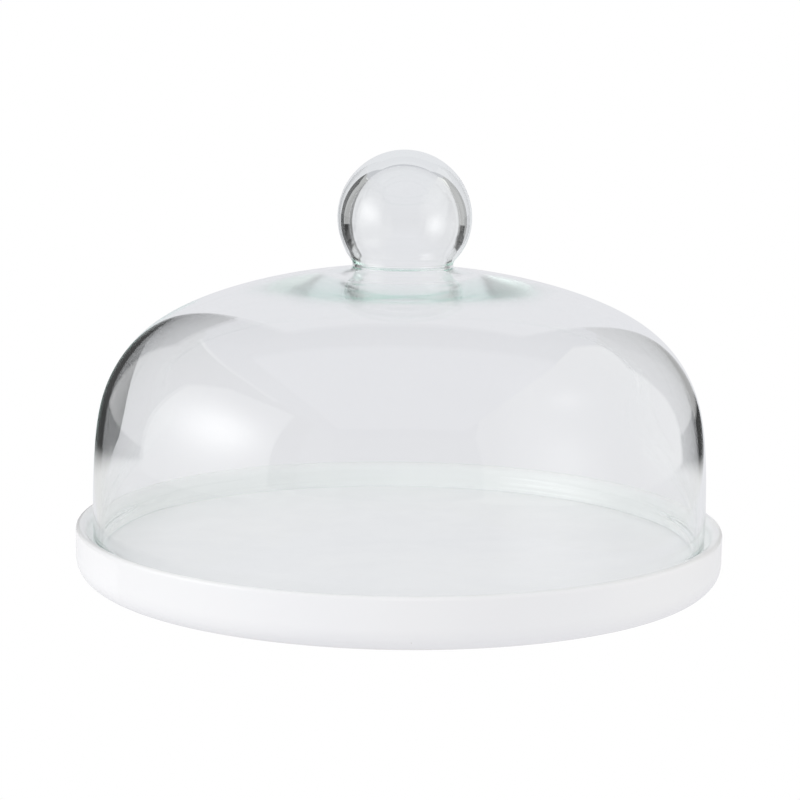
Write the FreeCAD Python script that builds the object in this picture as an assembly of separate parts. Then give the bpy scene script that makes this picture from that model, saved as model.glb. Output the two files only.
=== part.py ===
import FreeCAD, Part
import math
import os

# Cake stand with a lift-off glass dome.
#
# A round plate with an upright rim carries a glass dome. The dome stands on the
# plate's floor, just inside the rim, and has a hollow glass ball fused on top.
#
# Frame: origin at the middle of the plate's foot, on the table. +Z up, millimetres.
# Every piece is one closed section in the XZ plane, turned about Z.

# ---------------------------------------------------------------- plate
PLATE_R = 150.0          # outside radius of the upright wall
PLATE_H = 25.5           # table to the crest of the rim
FOOT_PROUD = 0.6         # foot stands this far below the rounded corner
FOOT_R_OUT = 138.4       # outer edge of the foot's land
FOOT_R_IN = 133.2        # inner edge of the foot's land
FOOT_BEVEL_H = 0.9       # height of the bevel from the land into the recess
CORNER_R = 10.9          # rounded corner between wall and underside
RIM_OUT_ROUND = 1.9      # outer rounding, wall to crest
RIM_CREST_R = PLATE_R - RIM_OUT_ROUND
RIM_IN_DROP = 5.0        # height over which the crest falls to the inner wall
RIM_R_IN = 144.3         # inner wall at the top of its straight part
RIM_DRAFT = 0.25         # inner wall leans in by this much at the floor
FLOOR_Z = 13.6           # top of the floor
FLOOR_T = 5.6            # floor thickness
FLOOR_FILLET = 1.9       # cove between floor and inner wall
RECESS_R = 131.6         # recess under the floor, at the foot
RECESS_DRAFT = 1.2       # recess narrows by this much towards the floor
RECESS_FILLET = 3.0      # cove inside the recess

# ---------------------------------------------------------------- dome
LIP_GAP = 0.02           # gap between lip and floor
LIP_R_OUT = 142.1        # outside radius at the lip
LIP_T = 4.7              # lip bead, radial
LIP_H = 5.4              # nominal height of the lip bead
LIP_TAPER_ABOVE = 3.2    # bead has thinned to the wall this far above LIP_H
LIP_TAPER_MID = 0.9      # middle point of the taper, above LIP_H
LIP_TAPER_BELOW = 1.9    # taper starts this far below LIP_H
WALL_T = 3.2             # side wall

# Wall of the dome from lip to crown: outside radius, height, wall thickness
DOME_STATIONS = [
    (142.09, 30.60, WALL_T),
    (141.31, 59.17, WALL_T),
    (140.19, 71.06, WALL_T),
    (138.00, 82.53, WALL_T),
    (135.34, 90.39, WALL_T),
    (131.80, 97.56, WALL_T),
    (127.39, 104.17, WALL_T),
    (122.15, 110.15, WALL_T),
    (116.08, 115.45, WALL_T),
    (107.95, 120.85, WALL_T),
    (95.09, 127.10, WALL_T),
    (71.45, 134.99, 3.30),
    (55.19, 138.77, 3.90),
    (42.00, 141.12, 5.30),
]
CROWN_END = (30.60, 142.55)     # radius, height where the crown meets the collar curve
WALL_LEAN = 0.01         # inward run per unit of rise at the foot of the wall
CROWN_SLOPE = 0.1055     # rise per unit of inward run at the crown's end

COLLAR_R_OUT = 23.2      # waist under the ball, outside
COLLAR_LEAN = 0.02       # inward run per unit of rise at the collar's top
COLLAR_POINTS = [(26.2, 143.22), (24.05, 144.02)]   # radius, height, crown to collar
BORE_R = 19.8            # bore through the collar into the ball
CEILING_R = 38.0         # where the ceiling starts to turn up into the bore
CEILING_Z = 135.95       # ceiling height there
BORE_FLARE_Z = 143.8     # the flare becomes a straight bore here
SEAM_Z = 145.0           # top of the collar, where the weld starts

# ---------------------------------------------------------------- weld and ball
WELD_H = 1.2             # fused bead between collar and ball
WELD_BULGE = 0.05        # bead stands out this far, inside and outside
WELD_TOP_Z = SEAM_Z + WELD_H
BALL_R = 30.9            # ball, outside
BALL_Z = 167.5           # centre of the outside
HOLLOW_R = 25.7          # ball, inside
HOLLOW_Z = 166.0         # centre of the inside, lower: the top wall is thicker
BALL_JOIN_Z = 151.2      # the neck runs into the outer ball here
HOLLOW_JOIN_Z = 152.0    # and the bore into the inner ball here
NECK_MID = (23.92, WELD_TOP_Z + 1.9)        # radius, height on the neck's outside
NECK_BORE_MID = (20.0, WELD_TOP_Z + 2.6)    # radius, height on the neck's inside


# ---------------------------------------------------------------- section tools
def vec(r, z):
    """Point or direction in the section plane."""
    return FreeCAD.Vector(r, 0, z)


UP = vec(0, 1)
DOWN = vec(0, -1)
OUTWARD = vec(1, 0)
CROWN_END_DIR = vec(-1, CROWN_SLOPE)


def lines(*points):
    """Straight edges joining the points in turn."""
    return [Part.makeLine(a, b) for a, b in zip(points, points[1:])]


def arc_through(start, middle, end):
    return Part.Arc(start, middle, end).toShape()


def on_ellipse(centre, half_r, half_z, angle):
    """Point on an ellipse; angle in degrees from +r towards +Z."""
    t = math.radians(angle)
    return vec(centre[0] + half_r * math.cos(t), centre[1] + half_z * math.sin(t))


def arc_about(centre, radius, start, end):
    """Circular arc between two angles in degrees."""
    angles = (start, 0.5 * (start + end), end)
    return arc_through(*[on_ellipse(centre, radius, radius, a) for a in angles])


def smooth(points, start_dir, end_dir):
    """Spline through the points with the given end tangents."""
    spline = Part.BSplineCurve()
    spline.interpolate(Points=points, InitialTangent=start_dir, FinalTangent=end_dir)
    return spline


def smooth_edge(points, start_dir, end_dir):
    return smooth(points, start_dir, end_dir).toShape()


def quarter_ellipse(centre, half_r, half_z, start, start_dir, end_dir, spans=8):
    """Spline through points on an ellipse, 90 degrees on from the start angle."""
    points = [on_ellipse(centre, half_r, half_z, start + 90 * k / spans)
              for k in range(spans + 1)]
    return smooth_edge(points, start_dir, end_dir)


def turned(edges):
    """Closed section turned through a full circle about Z."""
    wire = Part.Wire(Part.__sortEdges__(edges))
    if not wire.isClosed():
        raise RuntimeError("section is open")
    solid = Part.Face(wire).revolve(vec(0, 0), UP, 360)
    # the sense of the section may turn the solid inside out
    if solid.Volume < 0:
        solid.reverse()
    return solid


# ---------------------------------------------------------------- pieces
def make_plate():
    corner = (PLATE_R - CORNER_R, FOOT_PROUD + CORNER_R)
    round_z = PLATE_H - RIM_OUT_ROUND
    rim_z = PLATE_H - RIM_IN_DROP
    wall_r = RIM_R_IN - RIM_DRAFT
    floor_cove = (wall_r - FLOOR_FILLET, FLOOR_Z + FLOOR_FILLET)
    under_z = FLOOR_Z - FLOOR_T
    recess_r = RECESS_R - RECESS_DRAFT
    recess_cove = (recess_r - RECESS_FILLET, under_z - RECESS_FILLET)
    return turned([
        # foot land, its outer flank and the rounded corner
        *lines(vec(FOOT_R_IN, 0), vec(FOOT_R_OUT, 0), vec(corner[0], FOOT_PROUD)),
        arc_about(corner, CORNER_R, -90, 0),
        # upright outer wall and the rounded rim
        *lines(vec(PLATE_R, corner[1]), vec(PLATE_R, round_z)),
        arc_about((RIM_CREST_R, round_z), RIM_OUT_ROUND, 0, 90),
        quarter_ellipse((RIM_CREST_R, rim_z), RIM_CREST_R - RIM_R_IN, RIM_IN_DROP,
                        90, vec(-1, 0), DOWN),
        # inner wall, cove and floor, then down the axis to the underside
        *lines(vec(RIM_R_IN, rim_z), vec(wall_r, floor_cove[1])),
        arc_about(floor_cove, FLOOR_FILLET, 0, -90),
        *lines(vec(floor_cove[0], FLOOR_Z), vec(0, FLOOR_Z), vec(0, under_z),
               vec(recess_cove[0], under_z)),
        # recess cove, wall and the inner bevel of the foot
        arc_about(recess_cove, RECESS_FILLET, 90, 0),
        *lines(vec(recess_r, recess_cove[1]), vec(RECESS_R, FOOT_BEVEL_H),
               vec(FOOT_R_IN, 0)),
    ])


def dome_inside(outer):
    """Points from ceiling to skirt: the outside stepped in along its normal."""
    points = [vec(CEILING_R, CEILING_Z)]
    for r, z, thickness in reversed(DOME_STATIONS):
        tangent = outer.tangent(outer.parameter(vec(r, z)))[0]
        outward_normal = vec(tangent.z, -tangent.x)
        points.append(vec(r, z) - outward_normal * thickness)
    return points


def make_dome():
    crown_end = vec(*CROWN_END)
    outer = smooth([vec(r, z) for r, z, _ in DOME_STATIONS] + [crown_end],
                   vec(-WALL_LEAN, 1), CROWN_END_DIR)
    inside = dome_inside(outer)
    wall_foot = vec(*DOME_STATIONS[0][:2])
    collar_top = vec(COLLAR_R_OUT, SEAM_Z)

    skirt_r = inside[-1].x
    bead_r = LIP_R_OUT - LIP_T
    lip_z = FLOOR_Z + LIP_GAP
    lip_top_z = lip_z + LIP_H
    bead_centre = (LIP_R_OUT - 0.5 * LIP_T, lip_z + 0.5 * LIP_T)
    taper_top = vec(skirt_r, lip_top_z + LIP_TAPER_ABOVE)
    taper_middle = vec(0.5 * (skirt_r + bead_r), lip_top_z + LIP_TAPER_MID)
    taper_bottom = vec(bead_r, lip_top_z - LIP_TAPER_BELOW)
    return turned([
        outer.toShape(),
        # outside, from the crown up the collar to the seam
        smooth_edge([crown_end, *[vec(r, z) for r, z in COLLAR_POINTS], collar_top],
                    CROWN_END_DIR, vec(-COLLAR_LEAN, 1)),
        # seam and bore, then the flare into the ceiling
        *lines(collar_top, vec(BORE_R, SEAM_Z), vec(BORE_R, BORE_FLARE_Z)),
        quarter_ellipse((CEILING_R, BORE_FLARE_Z), CEILING_R - BORE_R,
                        BORE_FLARE_Z - CEILING_Z, 180, DOWN, OUTWARD),
        smooth_edge(inside, OUTWARD, vec(WALL_LEAN, -1)),
        # straight skirt down to the lip bead, thicker inwards and rounded below
        *lines(inside[-1], taper_top),
        smooth_edge([taper_top, taper_middle, taper_bottom], DOWN, DOWN),
        *lines(taper_bottom, vec(bead_r, bead_centre[1])),
        arc_about(bead_centre, 0.5 * LIP_T, 180, 360),
        *lines(vec(LIP_R_OUT, bead_centre[1]), wall_foot),
    ])


def make_weld():
    """Thin ring between collar and ball, bulging inside and outside."""
    middle_z = 0.5 * (SEAM_Z + WELD_TOP_Z)
    inner_low, outer_low = vec(BORE_R, SEAM_Z), vec(COLLAR_R_OUT, SEAM_Z)
    inner_top, outer_top = vec(BORE_R, WELD_TOP_Z), vec(COLLAR_R_OUT, WELD_TOP_Z)
    return turned([
        *lines(inner_low, outer_low),
        arc_through(outer_low, vec(COLLAR_R_OUT + WELD_BULGE, middle_z), outer_top),
        *lines(outer_top, inner_top),
        arc_through(inner_top, vec(BORE_R - WELD_BULGE, middle_z), inner_low),
    ])


def sphere_join(radius, centre_z, z):
    """Point on a sphere at height z, its angle in degrees and the upward tangent."""
    rise = z - centre_z
    r = math.sqrt(radius * radius - rise ** 2)
    return vec(r, z), math.degrees(math.atan2(rise, r)), vec(-rise, r).normalize()


def make_ball():
    neck_outer, neck_inner = vec(COLLAR_R_OUT, WELD_TOP_Z), vec(BORE_R, WELD_TOP_Z)
    ball_join, ball_angle, ball_dir = sphere_join(BALL_R, BALL_Z, BALL_JOIN_Z)
    hollow_join, hollow_angle, hollow_dir = sphere_join(HOLLOW_R, HOLLOW_Z, HOLLOW_JOIN_Z)
    return turned([
        *lines(neck_inner, neck_outer),
        # outside: neck into ball, tangent at both ends
        smooth_edge([neck_outer, vec(*NECK_MID), ball_join], UP, ball_dir),
        arc_about((0, BALL_Z), BALL_R, ball_angle, 90),
        *lines(vec(0, BALL_Z + BALL_R), vec(0, HOLLOW_Z + HOLLOW_R)),
        # inside: hollow into bore, tangent at both ends
        arc_about((0, HOLLOW_Z), HOLLOW_R, 90, hollow_angle),
        smooth_edge([hollow_join, vec(*NECK_BORE_MID), neck_inner], hollow_dir * -1, DOWN),
    ])


PARTS = {
    "plate": make_plate,
    "glass_dome": make_dome,
    "neck_weld": make_weld,
    "ball_knob": make_ball,
}

os.makedirs("parts", exist_ok=True)
for name, make in PARTS.items():
    shape = make()
    if not shape.isValid() or len(shape.Solids) != 1:
        raise RuntimeError(name + " is not one valid solid")
    shape.exportStep("parts/" + name + ".step")
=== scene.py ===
"""Glass cake cloche with a hollow ball knob, standing over a white glazed plate.

Both pieces are turned about Z, with the plate's foot at z = 0. The camera looks along +Y,
so front is -Y and left is -X. Sections are (radius, height) runs in mm; the rest is in metres.
"""

import math

import bmesh
import bpy
import numpy as np
from mathutils import Matrix, Vector


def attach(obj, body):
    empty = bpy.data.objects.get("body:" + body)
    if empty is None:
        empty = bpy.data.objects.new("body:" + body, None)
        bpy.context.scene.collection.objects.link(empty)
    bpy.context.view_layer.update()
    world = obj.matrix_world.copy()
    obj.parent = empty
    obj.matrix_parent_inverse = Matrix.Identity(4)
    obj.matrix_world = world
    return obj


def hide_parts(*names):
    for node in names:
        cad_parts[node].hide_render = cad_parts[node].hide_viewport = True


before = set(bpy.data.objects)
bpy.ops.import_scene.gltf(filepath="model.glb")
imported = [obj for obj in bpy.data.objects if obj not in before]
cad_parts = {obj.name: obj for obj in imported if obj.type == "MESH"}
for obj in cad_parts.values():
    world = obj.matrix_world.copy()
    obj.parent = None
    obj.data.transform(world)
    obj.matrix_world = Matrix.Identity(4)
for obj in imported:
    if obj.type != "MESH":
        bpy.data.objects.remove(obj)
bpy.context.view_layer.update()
scene = bpy.context.scene
MM = 0.001
SEGMENTS = 320


# ------------------------------------------------------------------ section tools
def cubic(points, start_tangent, end_tangent, step):
    """Cubic spline by chord length; an end without a tangent is left free."""
    p = np.array(points, float)
    chord = np.hypot(*np.diff(p, axis=0).T)
    count = len(p)
    system = np.zeros((count, count))
    target = np.zeros((count, 2))
    for i in range(1, count - 1):
        before, after = chord[i - 1], chord[i]
        system[i, i - 1] = 1 / before
        system[i, i] = 2 * (1 / before + 1 / after)
        system[i, i + 1] = 1 / after
        target[i] = 3 * ((p[i] - p[i - 1]) / before**2 + (p[i + 1] - p[i]) / after**2)
    last = count - 1
    # end row, its neighbour, and the chord between them
    for i, j, k, tangent in ((0, 1, 0, start_tangent), (last, last - 1, last - 1, end_tangent)):
        if tangent is not None:
            system[i, i] = 1
            target[i] = np.array(tangent, float) / np.hypot(*tangent)
        else:
            system[i, i], system[i, j] = 2 / chord[k], 1 / chord[k]
            target[i] = 3 * (p[k + 1] - p[k]) / chord[k] ** 2
    slope = np.linalg.solve(system, target)
    curve = []
    for i in range(last):
        pieces = max(2, int(math.ceil(chord[i] / step)))
        for k in range(pieces):
            s = k / pieces
            # Hermite weights
            h00, h10 = 2 * s**3 - 3 * s**2 + 1, s**3 - 2 * s**2 + s
            h01, h11 = -2 * s**3 + 3 * s**2, s**3 - s**2
            curve.append(h00 * p[i] + h10 * chord[i] * slope[i]
                         + h01 * p[i + 1] + h11 * chord[i] * slope[i + 1])
    curve.append(p[-1])
    return np.array(curve)


def ellipse(centre, half_width, half_height, start, end, count):
    angle = np.radians(np.linspace(start, end, count))
    return np.c_[centre[0] + half_width * np.cos(angle), centre[1] + half_height * np.sin(angle)]


def arc(centre, radius, start, end, step):
    """Circular arc between two angles, a point about every step degrees."""
    count = max(3, int(abs(end - start) / step) + 1)
    return ellipse(centre, radius, radius, start, end, count)


def line(a, b, step):
    count = max(2, int(math.ceil(math.dist(a, b) / step)) + 1)
    return np.c_[np.linspace(a[0], b[0], count), np.linspace(a[1], b[1], count)]


def join(*runs):
    """One run of points, without the doubled ends."""
    joined = [np.asarray(runs[0], float)]
    for run in runs[1:]:
        if np.hypot(*(run[0] - joined[-1][-1])) < 1e-3:
            run = run[1:]
        joined.append(run)
    return np.vstack(joined)


def add_object(name, data):
    ob = bpy.data.objects.new(name, data)
    scene.collection.objects.link(ob)
    return ob


def lathe(name, section, drift):
    """Smooth closed mesh of a section that runs clockwise from the axis back to the axis.

    drift(theta, r, z, index) gives a push along the outward normal, in mm.
    """
    tangent = np.gradient(section, axis=0)
    tangent /= np.hypot(*tangent.T)[:, None]
    normal = np.c_[-tangent[:, 1], tangent[:, 0]]
    theta = 2 * math.pi * np.arange(SEGMENTS) / SEGMENTS
    verts, rings = [], []
    for i, (r, z) in enumerate(section):
        if i in (0, len(section) - 1):
            rings.append([len(verts)])
            verts.append((0.0, 0.0, z * MM))
            continue
        push = drift(theta, r, z, i)
        radius, height = r + normal[i, 0] * push, z + normal[i, 1] * push
        rings.append(range(len(verts), len(verts) + SEGMENTS))
        verts += zip(radius * np.cos(theta) * MM, radius * np.sin(theta) * MM, height * MM)
    faces = []
    for ring, following in zip(rings, rings[1:]):
        for k in range(SEGMENTS):
            m = (k + 1) % SEGMENTS
            if len(ring) == 1:
                faces.append((ring[0], following[m], following[k]))
            elif len(following) == 1:
                faces.append((ring[k], ring[m], following[0]))
            else:
                faces.append((ring[k], ring[m], following[m], following[k]))
    mesh = bpy.data.meshes.new(name)
    mesh.from_pydata(verts, [], faces)
    mesh.validate()
    bm = bmesh.new()
    bm.from_mesh(mesh)
    bmesh.ops.recalc_face_normals(bm, faces=bm.faces)
    bm.to_mesh(mesh)
    bm.free()
    for face in mesh.polygons:
        face.use_smooth = True
    return add_object(name, mesh)


def lobes(theta, *waves):
    """Sum of waves round the axis, each (amplitude in mm, lobe count, phase)."""
    return sum(size * np.cos(count * theta + phase) for size, count, phase in waves)


def fade_in(value, start, length):
    return min(1.0, max(0.0, (value - start) / length))


# ------------------------------------------------------------------ glass, mm
# outside of the dome from the side wall to the crown: radius, height
DOME = [
    (142.09, 30.60), (141.31, 59.17), (140.19, 71.06), (138.00, 82.53), (135.34, 90.39),
    (131.80, 97.56), (127.39, 104.17), (122.15, 110.15), (116.08, 115.45), (107.95, 120.85),
    (95.09, 127.10), (71.45, 134.99), (55.19, 138.77), (42.00, 141.12), (30.60, 142.55),
]
DOME_START, DOME_END = (-0.01, 1), (-1, 0.1055)  # tangents at the two ends
# wall thickness: radius, thickness; constant beyond the ends
WALL = [(42.00, 5.30), (55.19, 3.90), (71.45, 3.30), (95.09, 3.20)]
LIP_R, LIP_T, LIP_H, LIP_Z = 142.1, 4.7, 5.4, 13.62  # outer radius, thickness, height, bottom
COLLAR_R, BORE_R = 23.2, 19.8  # outside and inside of the neck
SEAM_Z, WELD_H, WELD_BULGE = 145.0, 1.2, 0.04
WELD_TOP = SEAM_Z + WELD_H
CEILING_R, CEILING_Z = 38.0, 135.95  # inside of the crown, where the flare to the bore starts
FLARE_Z = 143.8
BALL_R, BALL_Z, BALL_JOIN_Z = 30.9, 167.5, 151.2
CAVITY_R, CAVITY_Z, CAVITY_JOIN_Z = 25.7, 166.0, 152.0
KNOB_SHIFT = 0.6  # the ball sits this far off the axis, towards +X
KNOB_SHIFT_Z, KNOB_SHIFT_RISE = 146.2, 12.0  # the shift grows from this height, over this rise


def dome_inside():
    """Inside of the wall from the crown down, stepped in along the outer normal."""
    fine = cubic(DOME, DOME_START, DOME_END, 0.2)
    points = [(CEILING_R, CEILING_Z)]
    for r, z in DOME[-2::-1]:
        k = int(np.argmin(np.hypot(fine[:, 0] - r, fine[:, 1] - z)))
        k = min(max(k, 1), len(fine) - 2)
        tangent = fine[k + 1] - fine[k - 1]
        tangent /= np.hypot(*tangent)
        normal = np.array([tangent[1], -tangent[0]])
        if normal[0] < 0:
            normal = -normal
        thickness = np.interp(r, *zip(*WALL))
        points.append((r - normal[0] * thickness, z - normal[1] * thickness))
    return cubic(points, (1, 0), (0.01, -1), 1.6)


def lip(inner_r, inner_z):
    """Rounded bead at the rim, from the outer wall round to the given point inside."""
    bead = (LIP_R - LIP_T / 2, LIP_Z + LIP_T / 2)
    bead_in = LIP_R - LIP_T
    top = LIP_Z + LIP_H
    step_start, step_end = (bead_in, top - 1.9), (inner_r, top + 3.2)
    return join(
        line(DOME[0], (LIP_R, bead[1]), 1.6),
        arc(bead, LIP_T / 2, 0, -180, 8),
        line((bead_in, bead[1]), step_start, 1.0),
        cubic([step_start, (0.5 * (inner_r + bead_in), top + 0.9), step_end], (0, 1), (0, 1), 0.5),
        line(step_end, (inner_r, inner_z), 1.6))


def weld(radius, bulge, start_z, end_z):
    middle = (radius + bulge, SEAM_Z + WELD_H / 2)
    return cubic([(radius, start_z), middle, (radius, end_z)], None, None, 0.2)


def sphere_cut(radius, centre_z, z):
    """Radius of a sphere about the axis at height z, and the angle there in degrees."""
    r = math.sqrt(radius**2 - (z - centre_z) ** 2)
    return r, math.degrees(math.atan2(z - centre_z, r))


def glass_section():
    """Down the outside from the top of the ball, round the lip and up the inside."""
    join_r, join_angle = sphere_cut(BALL_R, BALL_Z, BALL_JOIN_Z)
    ball = join(arc((0, BALL_Z), BALL_R, 90, 60, 0.7),
                arc((0, BALL_Z), BALL_R, 60, join_angle, 2.0))
    ball[0] = (0, BALL_Z + BALL_R)
    neck = cubic([(join_r, BALL_JOIN_Z), (23.92, WELD_TOP + 1.9), (COLLAR_R, WELD_TOP)],
                 (BALL_JOIN_Z - BALL_Z, -join_r), (0, -1), 0.6)
    collar = cubic([DOME[-1], (26.2, 143.22), (24.05, 144.02), (COLLAR_R, SEAM_Z)],
                   DOME_END, (-0.02, 1), 0.6)[::-1]
    outside = cubic(DOME, DOME_START, DOME_END, 1.6)[::-1]
    inside = dome_inside()[::-1]
    flare = ellipse((CEILING_R, FLARE_Z), CEILING_R - BORE_R, FLARE_Z - CEILING_Z, 270, 180, 20)
    bore = line((BORE_R, FLARE_Z), (BORE_R, SEAM_Z), 0.8)
    join_r, join_angle = sphere_cut(CAVITY_R, CAVITY_Z, CAVITY_JOIN_Z)
    neck_inside = cubic([(BORE_R, WELD_TOP), (20.0, WELD_TOP + 2.6), (join_r, CAVITY_JOIN_Z)],
                        (0, 1), (CAVITY_Z - CAVITY_JOIN_Z, join_r), 0.5)
    cavity = arc((0, CAVITY_Z), CAVITY_R, join_angle, 90, 2.5)
    cavity[-1] = (0, CAVITY_Z + CAVITY_R)
    return join(ball, neck, weld(COLLAR_R, WELD_BULGE, WELD_TOP, SEAM_Z), collar, outside,
                lip(*inside[0]), inside, flare, bore,
                weld(BORE_R, -WELD_BULGE, SEAM_Z, WELD_TOP), neck_inside, cavity)


GLASS = glass_section()
# the inside starts on the inner face of the lip, at z = 16
INSIDE_FROM = int(np.argmin(np.hypot(GLASS[:, 0] - (LIP_R - LIP_T), GLASS[:, 1] - 16.0)))


def glass_drift(theta, r, z, i):
    """Hand-blown drift: a little outside, more inside, none at the lip or near the axis."""
    outside = i < INSIDE_FROM
    if outside:
        push = lobes(theta, (0.035, 2, 0.7 + 0.010 * z), (0.02, 3, -1.1 + 0.017 * r))
    else:
        push = lobes(theta, (0.085, 1, -2.75), (0.06, 2, 1.9 + 0.012 * z),
                     (0.045, 3, 0.4 + 0.021 * r), (0.02, 7, 0.05 * r))
    push = push * fade_in(z, 26.0, 25.0) * fade_in(r, 8.0, 20.0)
    # a broken bubble, a pinhead across, on top of the ball at (-3.9, -9.4)
    if outside and z > 190:
        distance2 = (r * np.cos(theta) + 3.9) ** 2 + (r * np.sin(theta) + 9.4) ** 2
        push = push - 0.16 * np.exp(-distance2 / 0.28)
    return push


# ------------------------------------------------------------------ plate, mm
PLATE_R = 150
FLOOR_Z, UNDERSIDE_Z = 13.6, 8.0
EDGE_R = 1.9  # rounding of the rim's outer edge and of the corner where the floor ends
FLOOR_R = 142.15
CORNER_R = 10.9  # rounding under the outer wall
CORNER_Z = 0.6 + CORNER_R
RIM_W, RIM_H, RIM_Z = 3.8, 5.0, 20.5  # inner quarter of the rim, and where it starts
UNDER_FILLET = 3.0  # where the foot meets the underside


def plate_section():
    """Out over the floor, over the rim, down the outside and back underneath."""
    rim_r = PLATE_R - EDGE_R
    edge_z = RIM_Z + RIM_H - EDGE_R
    foot_in = (130.4, 5.0)
    fillet_r = foot_in[0] - UNDER_FILLET
    return join(
        line((0, FLOOR_Z), (FLOOR_R, FLOOR_Z), 4.0),
        arc((FLOOR_R, FLOOR_Z + EDGE_R), EDGE_R, -90, 0, 9),
        line((FLOOR_R + EDGE_R, FLOOR_Z + EDGE_R), (rim_r - RIM_W, RIM_Z), 1.2),
        ellipse((rim_r, RIM_Z), RIM_W, RIM_H, 90, 180, 14)[::-1],
        arc((rim_r, edge_z), EDGE_R, 90, 0, 9),
        line((PLATE_R, edge_z), (PLATE_R, CORNER_Z), 1.5),
        arc((PLATE_R - CORNER_R, CORNER_Z), CORNER_R, 0, -90, 5),
        line((138.4, 0), (133.2, 0), 1.3),
        line((131.6, 0.9), foot_in, 1.3),
        arc((fillet_r, foot_in[1]), UNDER_FILLET, 0, 90, 9),
        line((fillet_r, UNDERSIDE_Z), (0, UNDERSIDE_Z), 5.0))


def plate_drift(theta, r, z, i):
    """Firing warp of the wall and rim; the foot stays flat."""
    rise = fade_in(z, 16.0, 8.0) * (1.0 if r > 140 else 0.0)
    return rise * lobes(theta, (0.10, 2, 0.9), (0.04, 5, -0.3))


glass = lathe("glass_cloche", GLASS, glass_drift)
plate = lathe("cake_plate", plate_section(), plate_drift)
for v in glass.data.vertices:
    k = fade_in(v.co.z, KNOB_SHIFT_Z * MM, KNOB_SHIFT_RISE * MM)
    v.co.x += KNOB_SHIFT * MM * k * k * (3 - 2 * k)


# ------------------------------------------------------------------ shader tools
class Nodes:
    """Builds shader nodes in one tree. An input may be a socket to link or a value."""

    def __init__(self, owner):
        owner.use_nodes = True
        self.tree = owner.node_tree
        self.tree.nodes.clear()

    def node(self, kind, inputs=(), **settings):
        new = self.tree.nodes.new("ShaderNode" + kind)
        for attribute, value in settings.items():
            setattr(new, attribute, value)
        for key, value in dict(inputs).items():
            if isinstance(value, bpy.types.NodeSocket):
                self.tree.links.new(value, new.inputs[key])
            else:
                new.inputs[key].default_value = value
        return new

    def math(self, operation, *values):
        return self.node("Math", enumerate(values), operation=operation).outputs[0]

    def product(self, first, *others):
        for other in others:
            first = self.math("MULTIPLY", first, other)
        return first

    def ramp(self, value, start, end, low=0.0, high=1.0):
        """Smooth step from low at start to high at end."""
        inputs = {"Value": value, "From Min": start, "From Max": end,
                  "To Min": low, "To Max": high}
        return self.node("MapRange", inputs, interpolation_type="SMOOTHSTEP").outputs["Result"]

    def blend(self, factor, a, b):
        return self.node("Mix", {0: factor, 6: a, 7: b}, data_type="RGBA").outputs[2]

    def read_place(self):
        """Object coordinates, height, and distance from the Z axis."""
        self.position = self.node("TexCoord").outputs["Object"]
        x, y, self.height = self.node("SeparateXYZ", {"Vector": self.position}).outputs
        square = self.math("ADD", self.product(x, x), self.product(y, y))
        self.radius = self.math("SQRT", square)

    def noise(self, scale, detail=2.0, rough=0.5):
        inputs = {"Vector": self.position, "Scale": scale, "Detail": detail, "Roughness": rough}
        return self.node("TexNoise", inputs).outputs["Fac"]

    def bump(self, height, strength, distance, over=None):
        """Bump normal, laid over another one if given."""
        inputs = {"Height": height, "Strength": strength, "Distance": distance}
        if over:
            inputs["Normal"] = over
        return self.node("Bump", inputs).outputs["Normal"]


def new_material(name):
    material = bpy.data.materials.new(name)
    return material, Nodes(material)


def glass_material():
    material, n = new_material("clear_glass")
    n.read_place()
    # slight drift of tint, a little grey at the lip
    at_lip = n.ramp(n.height, start=0.0165, end=0.0140)
    tint = n.blend(n.noise(scale=9.0), a=(0.998, 1.0, 1.0, 1), b=(1.0, 0.999, 0.997, 1))
    colour = n.blend(n.product(at_lip, 0.35), a=tint, b=(0.93, 0.94, 0.94, 1))
    # faint smears, strongest on the ball, and a scuffed lip
    smear = n.ramp(n.noise(scale=38.0, detail=3.0, rough=0.6), start=0.56, end=0.74)
    handled = n.ramp(n.height, start=0.150, end=0.165, low=0.25)
    rough = n.math("ADD", n.product(smear, handled, 0.022), n.product(at_lip, 0.035))
    # the thick crown is a touch duller, less so at the bore
    crown_band = n.product(n.ramp(n.height, start=0.126, end=0.132),
                           n.ramp(n.height, start=0.1455, end=0.1440))
    crown = n.product(n.ramp(n.radius, start=0.085, end=0.060), crown_band)
    dullness = n.ramp(n.radius, start=0.026, end=0.036, low=0.050, high=0.088)
    rough = n.math("ADD", rough, n.product(crown, dullness))
    # long shallow waves and a fine ripple over them
    wave = n.bump(n.noise(scale=14.0, detail=1.0), strength=0.05, distance=0.0012)
    ripple = n.bump(n.noise(scale=120.0, detail=1.0), strength=0.02, distance=0.00012, over=wave)
    glossy = n.node("BsdfPrincipled", {
        "Transmission Weight": 1.0, "IOR": 1.52,
        "Base Color": colour, "Roughness": rough, "Normal": ripple})
    # shadow and diffuse rays pass straight through
    clear = n.node("BsdfTransparent", {"Color": (0.985, 0.988, 0.988, 1)})
    ray = n.node("LightPath").outputs
    passing = n.math("MAXIMUM", ray["Is Shadow Ray"], ray["Is Diffuse Ray"])
    surface = n.node("MixShader", {0: passing, 1: glossy.outputs[0], 2: clear.outputs[0]})
    # green tint that deepens with thickness
    volume = n.node("VolumeAbsorption", {"Color": (0.20, 0.82, 0.64, 1), "Density": 2.0})
    n.node("OutputMaterial", {"Surface": surface.outputs[0], "Volume": volume.outputs[0]})
    return material


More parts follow.
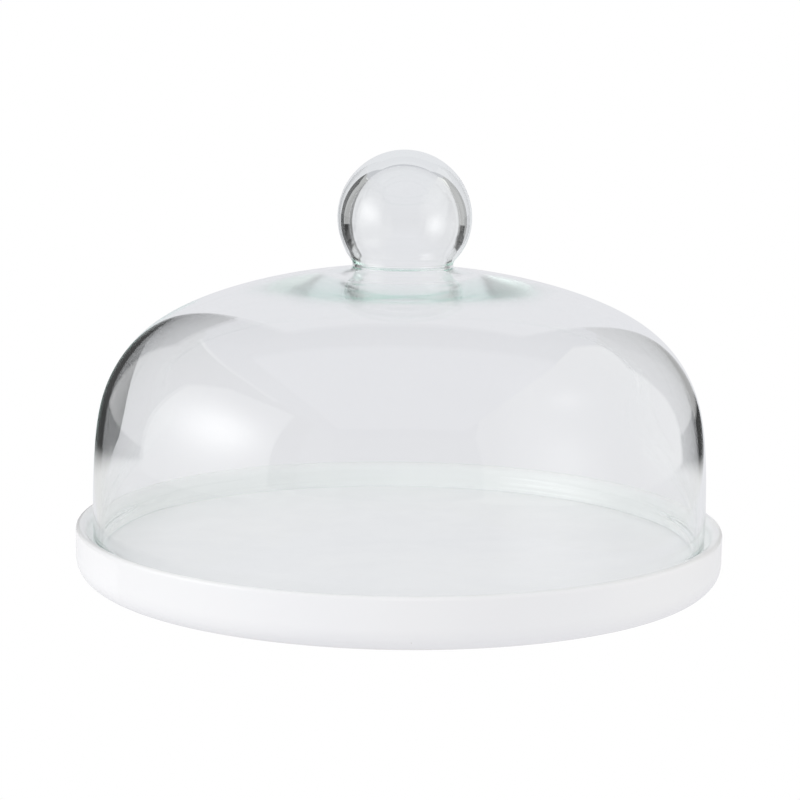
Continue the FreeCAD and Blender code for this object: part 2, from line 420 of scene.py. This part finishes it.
def plate_material():
    material, n = new_material("white_glaze")
    n.read_place()
    # cloudy white glaze
    cloud = n.ramp(n.noise(scale=11.0, detail=3.0), start=0.3, end=0.7)
    colour = n.blend(cloud, a=(0.912, 0.914, 0.916, 1), b=(0.932, 0.932, 0.928, 1))
    # thinner and warmer on the rim
    crest = n.ramp(n.height, start=0.0242, end=0.0255)
    patch = n.ramp(n.noise(scale=60.0), start=0.35, end=0.65, low=0.4)
    colour = n.blend(n.product(crest, patch, 0.30), a=colour, b=(0.83, 0.815, 0.785, 1))
    # painted shade: the foot's outer edge, where the wall curves under to the floor, is painted
    # darker and warmer
    foot_shade = n.product(n.ramp(n.height, start=0.0030, end=0.0012),
                     n.ramp(n.radius, start=0.1385, end=0.1405))
    colour = n.blend(n.product(foot_shade, 0.45), a=colour, b=(0.82, 0.80, 0.765, 1))
    # a few pinhead specks under the glaze
    cells = n.node("TexVoronoi", {"Vector": n.position, "Scale": 95.0})
    keep = n.ramp(n.noise(scale=23.0, detail=0.0), start=0.60, end=0.62)
    speck = n.product(n.ramp(cells.outputs["Distance"], start=0.035, end=0.02), keep)
    colour = n.blend(n.product(speck, 0.35), a=colour, b=(0.42, 0.36, 0.28, 1))
    # the foot's land is bare body
    bare = n.product(n.ramp(n.height, start=0.0007, end=0.0003),
                     n.ramp(n.radius, start=0.1318, end=0.1326))
    body = n.blend(n.noise(scale=160.0, detail=4.0),
                   a=(0.74, 0.70, 0.63, 1), b=(0.66, 0.62, 0.56, 1))
    colour = n.blend(bare, a=colour, b=body)
    # satin glaze, worn a little on the floor; the bare body is rougher
    on_floor = n.product(n.ramp(n.height, start=0.0150, end=0.0138),
                         n.ramp(n.height, start=0.0120, end=0.0134))
    wear = n.ramp(n.noise(scale=14.0), start=0.35, end=0.75, high=0.02)
    satin = n.ramp(n.noise(scale=45.0, detail=3.0), start=0.3, end=0.7, low=0.20, high=0.24)
    rough = n.math("ADD", satin, n.product(on_floor, wear))
    rough = n.math("ADD", rough, n.product(bare, 0.5))
    # orange peel, soft waves, and grit on the bare body
    peel = n.bump(n.noise(scale=260.0), strength=0.10, distance=0.0003)
    wave = n.bump(n.noise(scale=30.0, detail=1.0), strength=0.15, distance=0.0008, over=peel)
    grit = n.bump(n.product(n.noise(scale=900.0, detail=3.0), bare),
                  strength=0.5, distance=0.0003, over=wave)
    glaze = n.node("BsdfPrincipled", {
        "Base Color": colour, "IOR": 1.5, "Roughness": rough, "Normal": grit})
    n.node("OutputMaterial", {"Surface": glaze.outputs[0]})
    return material


glass.data.materials.append(glass_material())
plate.data.materials.append(plate_material())
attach(glass, "dome")
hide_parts("glass_dome", "neck_weld", "ball_knob")
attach(plate, "plate")
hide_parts("plate")

# ------------------------------------------------------------------ studio cards
# Rays from the camera see plain white. All others see a small set of glowing cards.
WHITE = (1, 1, 1)
COOL = (0.98, 0.985, 1.04)


def glow_material(name, level, colour, spots):
    """Emission of one level plus soft round spots, each (centre, size, strength)."""
    material, n = new_material(name)
    strength = level
    if spots:
        position = n.node("NewGeometry").outputs["Position"]
    for centre, size, extra in spots:
        offset = n.node("VectorMath", {0: position, 1: centre}, operation="SUBTRACT").outputs[0]
        scaled = n.node("VectorMath", {0: offset, 1: size}, operation="DIVIDE").outputs[0]
        square = n.node("VectorMath", {0: scaled, 1: scaled}, operation="DOT_PRODUCT")
        falloff = n.math("EXPONENT", n.product(square.outputs["Value"], -1.0))
        strength = n.math("MULTIPLY_ADD", falloff, extra, strength)
    light = n.node("Emission", {"Color": (*colour, 1), "Strength": strength})
    n.node("OutputMaterial", {"Surface": light.outputs[0]})
    return material


def card(name, corners, level, colour=WHITE, spots=(), faces=None):
    """Glowing card, hidden from the camera; one face unless faces are given."""
    material = glow_material(name, level, colour, spots)
    mesh = bpy.data.meshes.new(name)
    mesh.from_pydata(corners, [], faces or [tuple(range(len(corners)))])
    mesh.validate()
    ob = add_object(name, mesh)
    mesh.materials.append(material)
    ob.visible_camera = False
    ob.visible_shadow = False


def side_card(name, x, outline, level, colour, spots):
    """Card across X; the outline and the spots are given in Y and Z."""
    card(name, [(x, y, z) for y, z in outline], level, colour,
         [((x, *centre), (1.0, *size), extra) for centre, size, extra in spots])


def level_card(name, z, outline, level, colour):
    card(name, [(x, y, z) for x, y in outline], level, colour)


def upright_card(name, y, left, right, top, level, colour=WHITE):
    card(name, [(left, y, 0.0), (right, y, 0.0), (right, y, top), (left, y, top)], level, colour)


def paper_sweep():
    """Paper flat on the table, bent up behind the piece, a little wider or narrower with z."""
    left, right, back, top, bend = -0.205, 0.265, 0.45, 0.70, 0.10
    bend_steps = 8
    run = [(-0.9, 0.0), (back - bend, 0.0)]
    for k in range(1, bend_steps + 1):
        a = math.radians(90 * k / bend_steps)
        run.append((back - bend + bend * math.sin(a), bend - bend * math.cos(a)))
    run.append((back, top))
    corners = []
    for y, z in run:
        corners += [(left - 0.050 * z, y, z - 0.0002), (right - 0.018 * z, y, z - 0.0002)]
    card("paper_sweep", corners, level=0.805, colour=(0.985, 0.985, 1.022),
         faces=[(2 * i, 2 * i + 1, 2 * i + 3, 2 * i + 2) for i in range(len(run) - 1)])


paper_sweep()
side_card("left_light", -0.70,
          [(0.145, 0.0), (0.155, 0.54), (-0.05, 0.725), (-0.69, 0.90), (-0.69, 0.0)],
          level=0.87, colour=(1.0, 1.0, 0.99), spots=[((-0.29, 0.34), (0.28, 0.21), 2.1)])
side_card("right_panel", 0.60,
          [(0.325, 0.0), (0.35, 0.34), (0.41, 0.52), (0.82, 0.81), (0.70, 1.35),
           (-0.60, 1.40), (-1.10, 0.75), (-1.10, 0.0)],
          level=0.89, colour=(1.0, 1.0, 0.985),
          spots=[((-0.375, 0.165), (0.13, 0.17), 0.38), ((-0.14, 0.60), (0.10, 0.11), 0.38)])
# the overhead card hangs just under the ceiling and is brighter
OVERHEAD_Z = 1.0
CEILING_LEVEL = 0.57
level_card("ceiling", OVERHEAD_Z + 0.02,
           [(-0.77, -1.6), (0.72, -1.6), (0.72, 1.2), (0.60, 2.4), (-0.50, 2.4), (-0.77, 1.1)],
           level=CEILING_LEVEL, colour=COOL)
level_card("overhead", OVERHEAD_Z, [(-0.56, -1.2), (0.60, -1.2), (0.60, 0.36), (-0.56, 0.36)],
           level=CEILING_LEVEL + 0.18, colour=COOL)
level_card("strip_left", OVERHEAD_Z + 0.01,
           [(-0.785, -0.44), (-0.755, -0.44), (-0.755, 1.10), (-0.785, 1.10)],
           level=0.80, colour=WHITE)
upright_card("back_left", 1.0, left=-0.75, right=0.0, top=0.75, level=0.06)
upright_card("back_right", 1.0, left=0.0, right=0.75, top=0.75, level=0.40)
upright_card("front_room", -1.75, left=-1.3, right=1.3, top=1.6, level=0.62,
             colour=(0.97, 0.98, 1.0))


# ------------------------------------------------------------------ lights
def soft_light(name, place, size, power):
    """Disk light aimed at the plate, kept out of reflections and refractions."""
    data = bpy.data.lights.new(name, "AREA")
    data.shape = "DISK"
    data.size = size
    data.energy = power
    ob = add_object(name, data)
    away = (Vector(place) - Vector((0, 0, 0.02))).normalized()
    turn = away.to_track_quat("Z", "Y").to_matrix().to_4x4()
    ob.matrix_world = Matrix.Translation(place) @ turn
    ob.visible_camera = False
    ob.visible_glossy = False
    ob.visible_transmission = False


soft_light("fill_left", (-1.0, -0.45, 0.35), size=0.5, power=1.95)
soft_light("fill_top", (0.0, 0.1, 1.3), size=0.9, power=0.4)
soft_light("fill_front", (0.15, -1.5, 0.55), size=0.7, power=2.1)


# ------------------------------------------------------------------ floor and world
def white_to_camera(n, other_level):
    """Strength of 1 for camera rays and other_level for all others."""
    ray = n.node("LightPath").outputs["Is Camera Ray"]
    inputs = {"Value": ray, "To Min": other_level, "To Max": 1.0}
    return n.node("MapRange", inputs).outputs["Result"]


def add_floor():
    """White disc; other rays see a light table that falls off to dark behind the piece."""
    bm = bmesh.new()
    bmesh.ops.create_circle(bm, cap_ends=True, segments=96, radius=4.0)
    mesh = bpy.data.meshes.new("floor")
    bm.to_mesh(mesh)
    bm.free()
    floor = add_object("floor", mesh)
    floor.location = (0, 0, -0.0006)
    material, n = new_material("floor_white")
    position = n.node("NewGeometry").outputs["Position"]
    y = n.node("SeparateXYZ", {"Vector": position}).outputs["Y"]
    table = n.ramp(y, start=0.36, end=0.21, low=0.05, high=0.76)
    light = n.node("Emission", {"Color": (1, 1, 1, 1), "Strength": white_to_camera(n, table)})
    n.node("OutputMaterial", {"Surface": light.outputs[0]})
    mesh.materials.append(material)


add_floor()
world = bpy.data.worlds.new("studio")
scene.world = world
n = Nodes(world)
room = n.node("Background", {"Color": (1, 1, 1, 1), "Strength": white_to_camera(n, 0.46)})
n.node("OutputWorld", {"Surface": room.outputs[0]})


# ------------------------------------------------------------------ camera and render
def add_camera():
    """Long lens in front of the piece, pitched down and rolled slightly."""
    pitch, roll = math.radians(9.497), math.radians(0.8075)
    data = bpy.data.cameras.new("camera")
    data.sensor_width = 36
    data.lens = 118.053
    data.shift_x = -0.00105
    data.clip_start = 0.05
    data.clip_end = 50
    camera = add_object("camera", data)
    level_right = Vector((1, 0, 0))
    level_up = Vector((0, math.sin(pitch), math.cos(pitch)))
    forward = Vector((0, math.cos(pitch), -math.sin(pitch)))
    right = math.cos(roll) * level_right + math.sin(roll) * level_up
    up = -math.sin(roll) * level_right + math.cos(roll) * level_up
    turn = Matrix((right, up, -forward)).transposed().to_4x4()
    camera.matrix_world = Matrix.Translation((0, -1.2, 0.2833)) @ turn
    scene.camera = camera


add_camera()
scene.view_settings.view_transform = "Standard"
scene.view_settings.look = "None"
cycles = scene.cycles
cycles.use_denoising = True
# light crosses many glass walls
cycles.max_bounces = 96
cycles.transmission_bounces = 96
cycles.glossy_bounces = 96
cycles.diffuse_bounces = 4
cycles.transparent_max_bounces = 24
cycles.caustics_reflective = False
